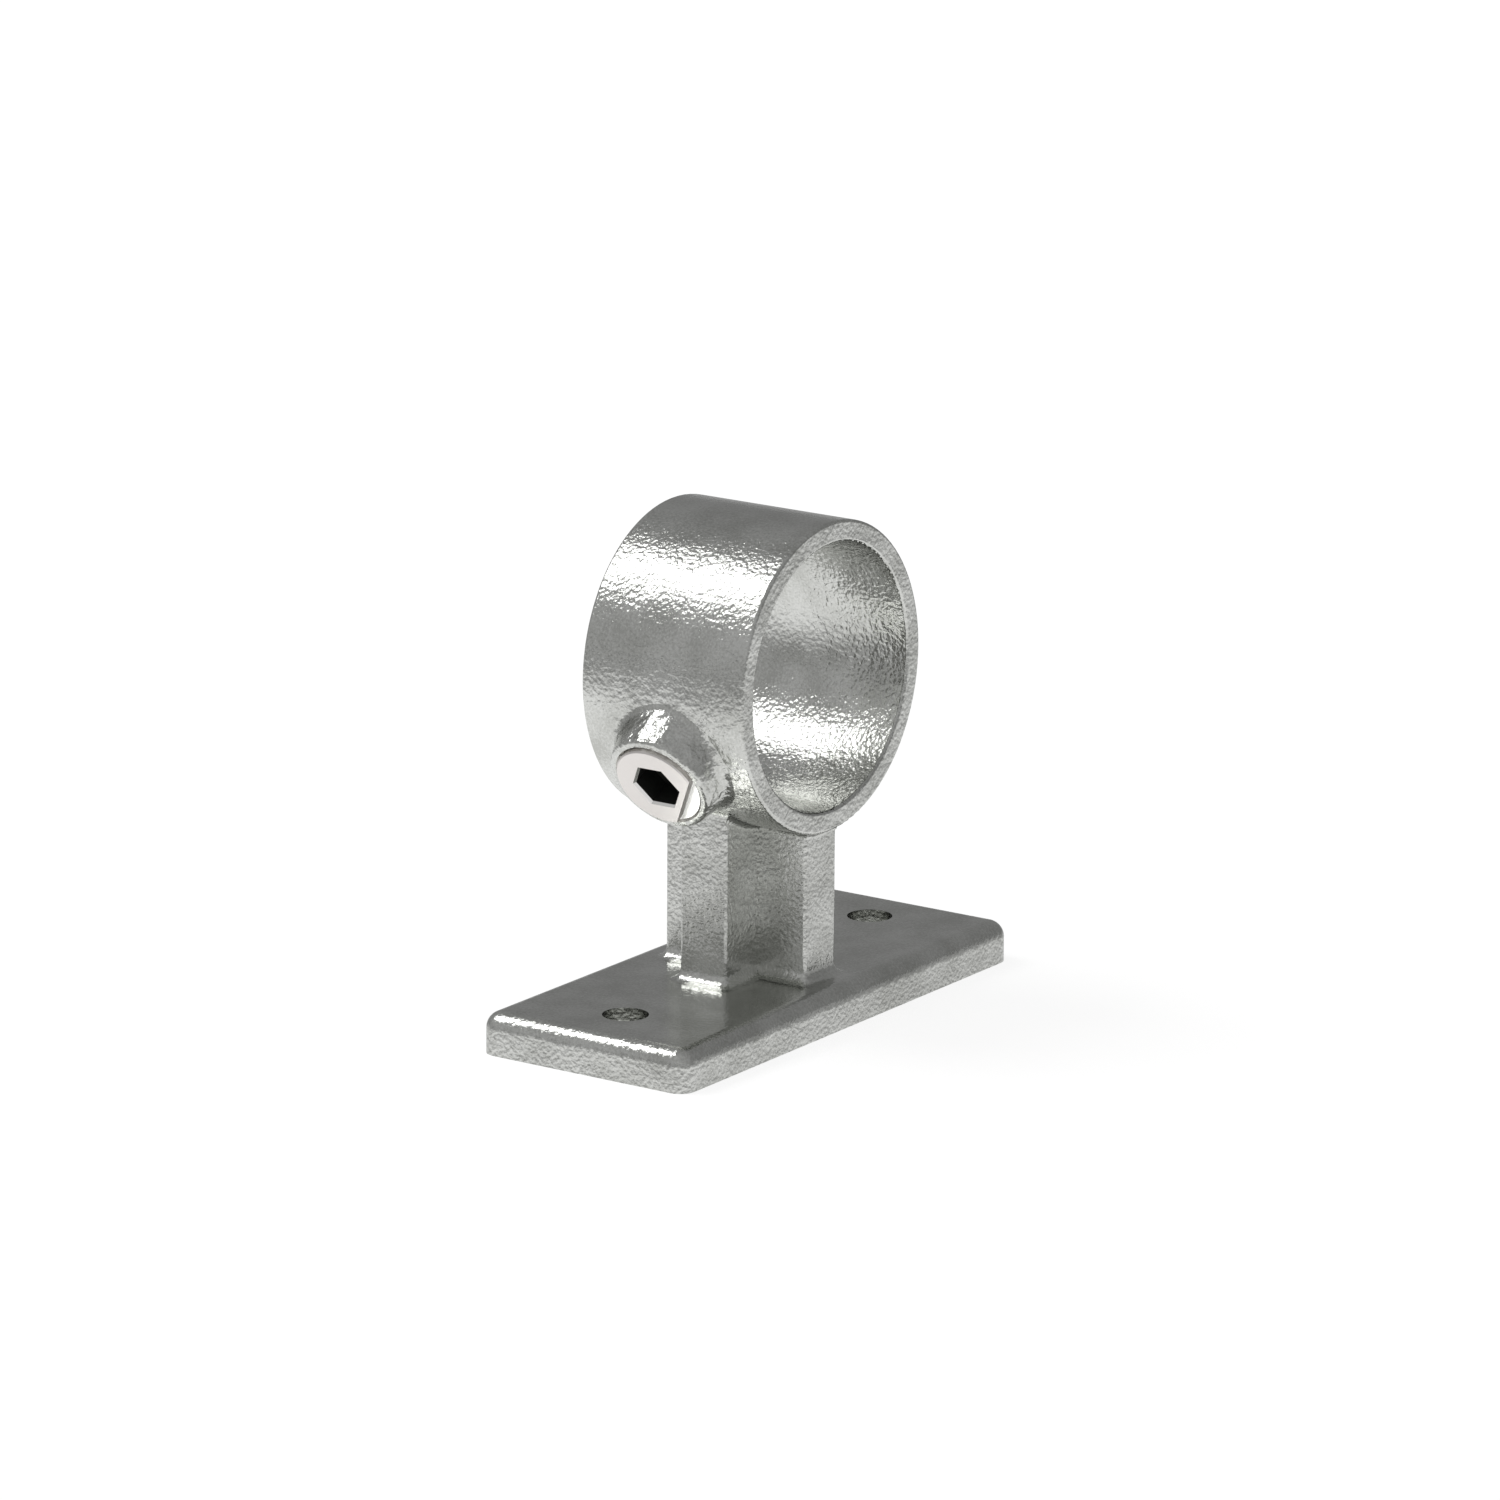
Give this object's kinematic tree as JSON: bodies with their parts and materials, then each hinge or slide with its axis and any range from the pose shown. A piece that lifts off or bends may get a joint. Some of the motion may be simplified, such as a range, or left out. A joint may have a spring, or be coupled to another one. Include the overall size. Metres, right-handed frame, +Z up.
{
  "type": "handrail bracket",
  "caption": "Cast bracket with a flat base plate, a cross-shaped post and a ring that a round rail passes through, gripped by a hexagon-socket set screw.",
  "frame": {"origin": "centre of the base plate's underside", "axes": "+X along the rail, +Y along the base plate's long side, away from the set screw, +Z up from the fixing surface"},
  "size_m": [0.0448, 0.1058, 0.0928],
  "materials": {
    "galvanised_casting": "hot-dip galvanised, fine grain, dull shine",
    "plated_screw": "zinc plated, smooth"
  },
  "bodies": {
    "bracket": {"bracket_casting": "galvanised_casting"},
    "screw": {"set_screw": "plated_screw"}
  },
  "joints": [
    {"name": "screw_travel", "type": "slide", "parent": "bracket", "child": "screw", "axis": [0, 0.8746, 0.4848], "range_m": [-0.0045, 0.00115]}
  ]
}
